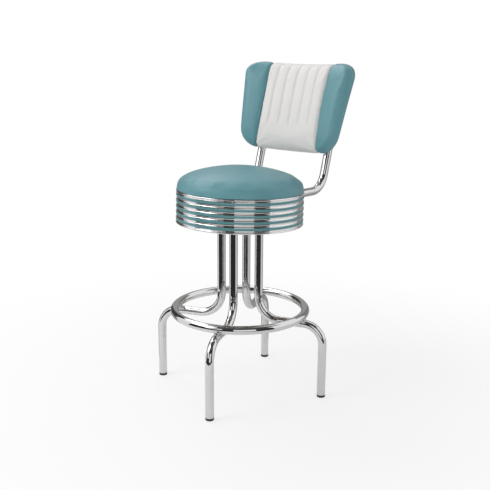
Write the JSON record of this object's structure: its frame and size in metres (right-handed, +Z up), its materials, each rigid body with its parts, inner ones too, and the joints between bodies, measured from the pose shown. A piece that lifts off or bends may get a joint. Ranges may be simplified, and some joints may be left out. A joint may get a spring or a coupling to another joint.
{
  "type": "diner counter stool",
  "caption": "Counter stool with a round swivelling cushion in a grooved band, a padded curved back, bent tube legs and a foot ring.",
  "frame": {"origin": "the point on the floor under the swivel axis", "axes": "+Z up, along the swivel axis; -Y towards the front of the seat, +Y towards the back rest; +X to the right as seen by someone facing +Y"},
  "size_m": [0.5234, 0.6145, 0.996],
  "materials": {
    "chromed_tube": "polished chrome plated steel tube",
    "chromed_band": "polished chrome plated grooved band",
    "weld_chrome": "chrome plated weld bead",
    "chromed_screw": "chrome plated screw",
    "glide_plastic": "black moulded plastic",
    "black_steel": "satin black paint",
    "zinc_plate": "zinc plated pressed steel",
    "zinc_hardware": "zinc plated",
    "bearing_steel": "bright hardened steel",
    "brass_cage": "pressed brass",
    "bronze_bushing": "sintered bronze",
    "plywood": "sanded birch plywood",
    "foam": "cut polyurethane foam",
    "teal_vinyl": "smooth upholstery vinyl",
    "teal_stripe": "vinyl strip",
    "white_vinyl": "smooth upholstery vinyl",
    "rear_vinyl": "vinyl covered hardboard"
  },
  "bodies": {
    "base": {"leg_tube_1": "chromed_tube", "leg_tube_2": "chromed_tube", "leg_tube_3": "chromed_tube", "leg_tube_4": "chromed_tube", "foot_glide_1": "glide_plastic", "foot_glide_2": "glide_plastic", "foot_glide_3": "glide_plastic", "foot_glide_4": "glide_plastic", "foot_ring": "chromed_tube", "foot_ring_welds": "weld_chrome", "column_welds": "weld_chrome", "base_top_plate": "black_steel", "swivel_lower_plate": "zinc_plate", "swivel_bolts": "zinc_hardware", "swivel_nuts": "zinc_hardware", "king_pin": "zinc_hardware"},
    "ball_cage": {"ball_cage": "brass_cage", "bearing_balls": "bearing_steel"},
    "seat": {"swivel_upper_plate": "zinc_plate", "pin_bushing": "bronze_bushing", "seat_board": "plywood", "seat_tee_nuts": "zinc_hardware", "seat_screws": "zinc_hardware", "seat_foam": "foam", "seat_cover": "teal_vinyl", "seat_band": "chromed_band", "band_mounting_ring": "zinc_plate", "band_screws": "zinc_hardware", "band_stripe_1": "teal_stripe", "band_stripe_2": "teal_stripe", "band_stripe_3": "teal_stripe", "band_stripe_4": "teal_stripe", "band_stripe_5": "teal_stripe", "back_frame": "chromed_tube", "frame_bolts": "zinc_hardware", "post_end_plugs": "glide_plastic", "back_board": "plywood", "back_tee_nuts": "zinc_hardware", "back_screws": "chromed_screw", "back_foam": "foam", "back_centre_panel": "white_vinyl", "back_wing_left": "teal_vinyl", "back_wing_right": "teal_vinyl", "back_rear_panel": "rear_vinyl"}
  },
  "joints": [
    {"name": "seat_swivel", "type": "hinge", "parent": "base", "child": "seat", "pos_m": [0, 0, 0.61], "axis": [0, 0, 1], "continuous": true},
    {"name": "cage_spin", "type": "hinge", "parent": "base", "child": "ball_cage", "pos_m": [0, 0, 0.61], "axis": [0, 0, 1], "continuous": true}
  ],
  "couplings": [
    {"joint": "cage_spin", "follows": "seat_swivel", "ratio": 0.5}
  ]
}
